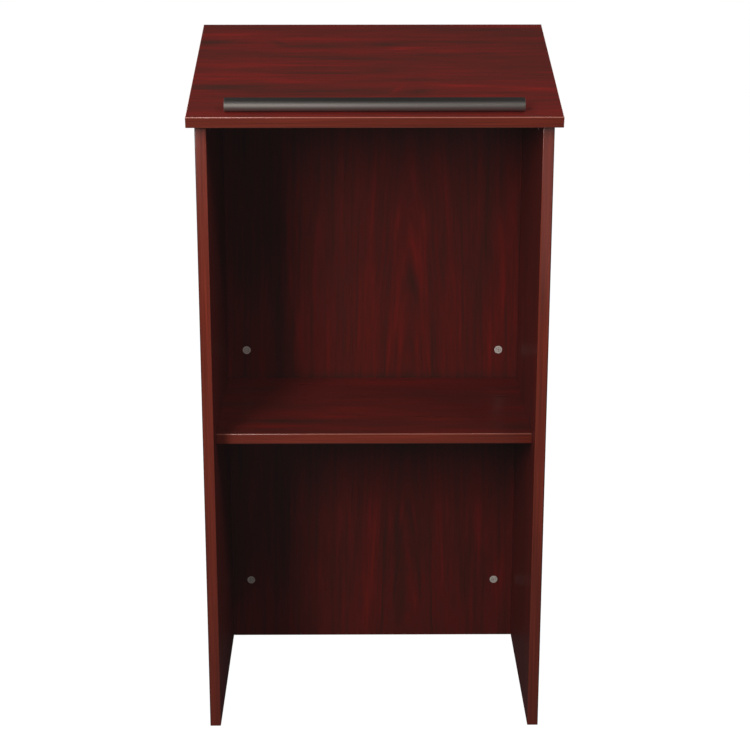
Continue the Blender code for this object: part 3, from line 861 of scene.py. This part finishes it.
def make_screws(material):
    mesh = screw_mesh()
    underside = span("reading_top", TOP_NORMAL)[0]
    turn = Matrix((RIGHT, UP_SLOPE, TOP_NORMAL)).transposed().to_4x4()
    for place in ("left", "middle", "right"):
        node = f"book_stop_screw_{place}"
        across = sum(span(node, RIGHT)) / 2
        along = sum(span(node, UP_SLOPE)) / 2
        centre = RIGHT * across + UP_SLOPE * along + TOP_NORMAL * underside
        placed = Matrix.Translation(centre) @ turn
        add_piece(f"{node}_turned", mesh, material, CABINET, [node], placed)


# ---------------------------------------------------------------- the CAD nodes' own materials


def repaint(node, material):
    mesh = frame["nodes"][node].data
    mesh.materials.clear()
    mesh.materials.append(material)


# The marks that catch the eye in each board's print: across, along, half length, half width,
# strength and lean. The last one on the back is painted shade: a dark band over the shelf, on the
# back's inner face, at the joint. The last one on the top is a painted reflection: a paler band
# under and in front of the book stop.
TOP_STREAKS = [
    Streak(0.366, -0.278, 0.045, 0.012, -0.34),
    Streak(0.364, -0.158, 0.022, 0.007, -0.30, -0.70),
    Streak(0.350, -0.075, 0.100, 0.010, -0.42, 0.03),
    Streak(0.357, 0.024, 0.030, 0.009, -0.38, 0.12),
    Streak(0.368, 0.160, 0.080, 0.012, -0.16, -0.05),
    Streak(0.427, 0.190, 0.090, 0.009, -0.26),
    Streak(0.400, 0.250, 0.070, 0.012, -0.26),
    Streak(0.292, -0.060, 0.085, 0.012, -0.16),
    Streak(0.288, 0.065, 0.060, 0.010, -0.26),
    Streak(0.228, -0.110, 0.075, 0.005, -0.30, -0.03),
    Streak(0.236, 0.010, 0.032, 0.007, -0.24),
    Streak(0.166, -0.240, 0.080, 0.012, -0.30, -0.06),
    Streak(0.150, -0.060, 0.110, 0.013, -0.40),
    Streak(0.150, 0.072, 0.022, 0.008, -0.32, 0.2),
    Streak(0.141, 0.225, 0.070, 0.006, -0.30),
    Streak(0.402, -0.220, 0.085, 0.016, 0.32),
    Streak(0.388, -0.080, 0.065, 0.009, 0.22),
    Streak(0.338, 0.048, 0.028, 0.007, 0.34, 0.10),
    Streak(0.351, 0.150, 0.090, 0.004, 0.30, 0.10),
    Streak(0.262, -0.200, 0.090, 0.011, 0.20),
    Streak(0.268, -0.050, 0.050, 0.006, 0.22),
    Streak(0.194, -0.140, 0.060, 0.007, 0.22),
    Streak(0.200, -0.260, 0.040, 0.006, 0.22),
    Streak(0.176, 0.120, 0.100, 0.006, 0.36, -0.10),
    Streak(0.160, 0.255, 0.050, 0.007, 0.30, -0.05),
    Streak(0.155, 0.036, 0.018, 0.005, 0.30, 1.6),
    # painted reflection: a paler band along the front of the top, under and in front of the book stop, for the
    # stop's reflection in the laminate
    Streak(0.062, 0.000, 0.420, 0.022, 0.16),
]
SHELF_STREAKS = [
    Streak(-0.045, -0.070, 0.060, 0.010, 0.30),
    Streak(-0.095, -0.190, 0.050, 0.008, 0.36),
    Streak(0.006, -0.035, 0.070, 0.012, 0.24),
    Streak(-0.060, 0.120, 0.055, 0.005, 0.30),
    Streak(-0.112, 0.145, 0.060, 0.006, 0.26),
    Streak(-0.063, -0.155, 0.050, 0.008, -0.36),
    Streak(0.115, -0.185, 0.040, 0.018, -0.30),
    Streak(-0.085, 0.020, 0.100, 0.008, -0.28),
    Streak(-0.092, 0.130, 0.045, 0.008, -0.28),
    Streak(0.150, 0.060, 0.260, 0.040, 0.38),
    Streak(-0.100, 0.240, 0.035, 0.015, -0.26),
]
BACK_STREAKS = [
    Streak(0.072, 0.880, 0.055, 0.0080, 0.24, -0.08),
    Streak(0.085, 0.750, 0.090, 0.0080, 0.18, -0.06),
    Streak(0.093, 0.600, 0.090, 0.0085, 0.17, -0.02),
    Streak(0.052, 0.860, 0.060, 0.0060, 0.14, 0.08),
    Streak(0.072, 0.755, 0.055, 0.0085, 0.30, -0.14),
    Streak(0.073, 0.685, 0.040, 0.0080, -0.24, -0.08),
    Streak(0.076, 0.600, 0.070, 0.0090, -0.20),
    Streak(0.044, 0.640, 0.060, 0.0085, 0.24, 0.10),
    Streak(0.030, 0.580, 0.060, 0.0095, 0.18, 0.12),
    Streak(-0.022, 0.860, 0.070, 0.0110, 0.20),
    Streak(0.012, 0.860, 0.090, 0.0060, -0.18),
    Streak(0.130, 0.720, 0.120, 0.0085, -0.14),
    Streak(0.243, 0.800, 0.100, 0.0130, 0.20, 0.04),
    Streak(0.232, 0.665, 0.100, 0.0130, 0.16, 0.06),
    Streak(0.210, 0.570, 0.060, 0.0120, 0.16, 0.10),
    Streak(0.196, 0.750, 0.110, 0.0100, -0.16, 0.06),
    Streak(-0.145, 0.690, 0.060, 0.0060, 0.14, -0.10),
    Streak(-0.134, 0.600, 0.070, 0.0065, 0.24, -0.10),
    Streak(-0.170, 0.600, 0.090, 0.0110, -0.24),
    Streak(-0.003, 0.215, 0.060, 0.0110, 0.30, 0.03),
    Streak(-0.010, 0.090, 0.080, 0.0100, 0.26, 0.05),
    Streak(0.058, 0.235, 0.038, 0.0070, 0.28, -0.12),
    Streak(0.067, 0.160, 0.055, 0.0075, 0.28, -0.14),
    Streak(0.078, 0.075, 0.050, 0.0080, 0.26, -0.14),
    Streak(0.034, 0.230, 0.050, 0.0060, 0.24, 0.05),
    Streak(0.048, 0.210, 0.060, 0.0080, -0.24),
    Streak(0.052, 0.070, 0.060, 0.0110, -0.22),
    Streak(0.018, 0.180, 0.080, 0.0080, -0.18),
    Streak(0.200, 0.230, 0.090, 0.0090, 0.26),
    Streak(0.172, 0.150, 0.100, 0.0080, -0.18),
    Streak(0.238, 0.110, 0.100, 0.0080, 0.22, 0.05),
    # painted shade over the shelf joint, on the back's inner face only
    Streak(0.030, 0.510, 0.011, 0.300, -0.36, face=-INWARD),
]


def paint_boards():
    top = laminate("wood_top", UP_SLOPE, RIGHT, 3.0, streaks=TOP_STREAKS)
    shelf = laminate("wood_shelf", INWARD, RIGHT, 41.0, streaks=SHELF_STREAKS, raw_ways=[RIGHT, INWARD])
    figure = Arches(across=0.066, middle=0.62, depth=0.012, taper=0.064)
    back = laminate("wood_back", RIGHT, UP, 59.0, figure, BACK_STREAKS, raw_ways=[UP])
    repaint("reading_top", top)
    repaint("shelf", shelf)
    repaint("back_panel", back)
    for side, across, seed in (("left", 0.02, 71.0), ("right", -0.03, 80.0)):
        figure = Arches(across, middle=0.55, depth=0.016, taper=0.055)
        wood = laminate(f"wood_{side}", INWARD, UP, seed, figure, raw_ways=[UP], dull=SIDE_ROUGHNESS)
        repaint(f"{side}_side_panel", wood)


def paint_fasteners():
    steel = plated_steel("bolt_steel", BOLT_TONES, BOLT_ROUGHNESS)
    upright = beech("dowel_beech_upright", TOP_NORMAL, RIGHT)
    level = beech("dowel_beech_level", RIGHT, INWARD)
    for node in frame["nodes"]:
        if node.startswith("cam_bolt_"):
            repaint(node, steel)
        if node.startswith("dowel_"):
            repaint(node, upright if "_top_" in node else level)


# ---------------------------------------------------------------- floor, light and camera


def make_floor():
    """A wide pale floor, which looks white and throws little light back up."""
    bm = bmesh.new()
    bmesh.ops.create_grid(bm, x_segments=8, y_segments=8, size=FLOOR_HALF)
    mesh = bpy.data.meshes.new("floor")
    bm.to_mesh(mesh)
    bm.free()
    floor = bpy.data.objects.new("floor", mesh)
    bpy.context.collection.objects.link(floor)
    floor.location = (0, 0, -FLOOR_DROP)
    material = bpy.data.materials.new("floor")
    material.use_nodes = True
    nodes, links = material.node_tree.nodes, material.node_tree.links
    shader = nodes["Principled BSDF"]
    shader.inputs["Base Color"].default_value = (FLOOR_GREY, FLOOR_GREY, FLOOR_GREY, 1)
    shader.inputs["Roughness"].default_value = 0.9
    shader.inputs["Specular IOR Level"].default_value = 0.1
    shader.inputs["Emission Color"].default_value = (1, 1, 1, 1)
    seen = nodes.new("ShaderNodeLightPath")
    links.new(seen.outputs["Is Camera Ray"], shader.inputs["Emission Strength"])
    mesh.materials.append(material)


def make_world():
    """White behind everything, with a weak grey glow from all round."""
    world = bpy.data.worlds.new("studio")
    bpy.context.scene.world = world
    world.use_nodes = True
    nodes, links = world.node_tree.nodes, world.node_tree.links
    backdrop = nodes["Background"]
    seen = nodes.new("ShaderNodeLightPath")
    strength = nodes.new("ShaderNodeMapRange")
    links.new(seen.outputs["Is Camera Ray"], strength.inputs["Value"])
    strength.inputs["To Min"].default_value = WORLD_GLOW
    strength.inputs["To Max"].default_value = 1.0
    backdrop.inputs["Color"].default_value = (1, 1, 1, 1)
    links.new(strength.outputs[0], backdrop.inputs["Strength"])


def add_softbox(name, place, target, size, power):
    light = bpy.data.lights.new(name, "AREA")
    light.shape = "RECTANGLE"
    light.size, light.size_y = size
    light.energy = power
    lamp = bpy.data.objects.new(name, light)
    bpy.context.collection.objects.link(lamp)
    lamp.location = place
    lamp.rotation_euler = (Vector(target) - Vector(place)).to_track_quat("-Z", "Y").to_euler()


def make_lights():
    middle = (0, 0, 0.65)
    upper = (0, 0, 1.0)
    add_softbox("key", (-1.14, -2.25, 1.78), middle, (0.6, 0.9), 24)
    add_softbox("key_high", (-1.14, -2.0, 2.5), middle, (0.8, 0.8), 6)
    add_softbox("front_high", (0.3, -1.75, 2.5), middle, (2.4, 0.5), 5)
    add_softbox("left_high", (-1.8, -1.8, 3.2), middle, (1.0, 1.0), 5.5)
    add_softbox("right_high", (1.8, -1.8, 3.2), middle, (1.0, 1.0), 15)
    add_softbox("front_low", (0.6, -3.45, 1.4), middle, (0.8, 2.0), 3)
    add_softbox("right_low", (3.3, -1.2, 1.4), middle, (0.8, 2.4), 5)
    add_softbox("over_left", (-1.5, -0.3, 3.0), upper, (1.0, 1.0), 12.5)
    add_softbox("over_right", (1.5, -0.3, 3.0), upper, (1.0, 1.0), 6.5)
    add_softbox("rear_left", (-2.6, 2.2, 1.8), upper, (1.0, 1.0), 25)
    add_softbox("rear_right", (2.6, 2.2, 1.8), upper, (1.0, 1.0), 25)


def make_camera():
    data = bpy.data.cameras.new("camera")
    camera = bpy.data.objects.new("camera", data)
    bpy.context.collection.objects.link(camera)
    camera.location = CAMERA_PLACE
    camera.rotation_euler = (math.pi / 2 - CAMERA_DOWN, 0, -CAMERA_TURN)
    data.lens = CAMERA_LENS
    data.sensor_width = CAMERA_SENSOR
    data.shift_x, data.shift_y = CAMERA_SHIFT
    data.clip_end = CAMERA_FAR
    bpy.context.scene.camera = camera


def develop():
    """Plain tones, with the blacks lifted a little, as in a catalogue picture."""
    view = bpy.context.scene.view_settings
    view.view_transform = "Standard"
    view.use_curve_mapping = True
    view.curve_mapping.black_level = (-BLACK_LIFT,) * 3
    view.curve_mapping.update()


make_camera()
make_world()
make_lights()
make_floor()
paint_boards()
paint_fasteners()
make_bands()
make_book_stop()
make_screws(plated_steel("screw_steel", SCREW_TONES, SCREW_ROUGHNESS))
make_cam_locks(die_cast_zinc())
develop()
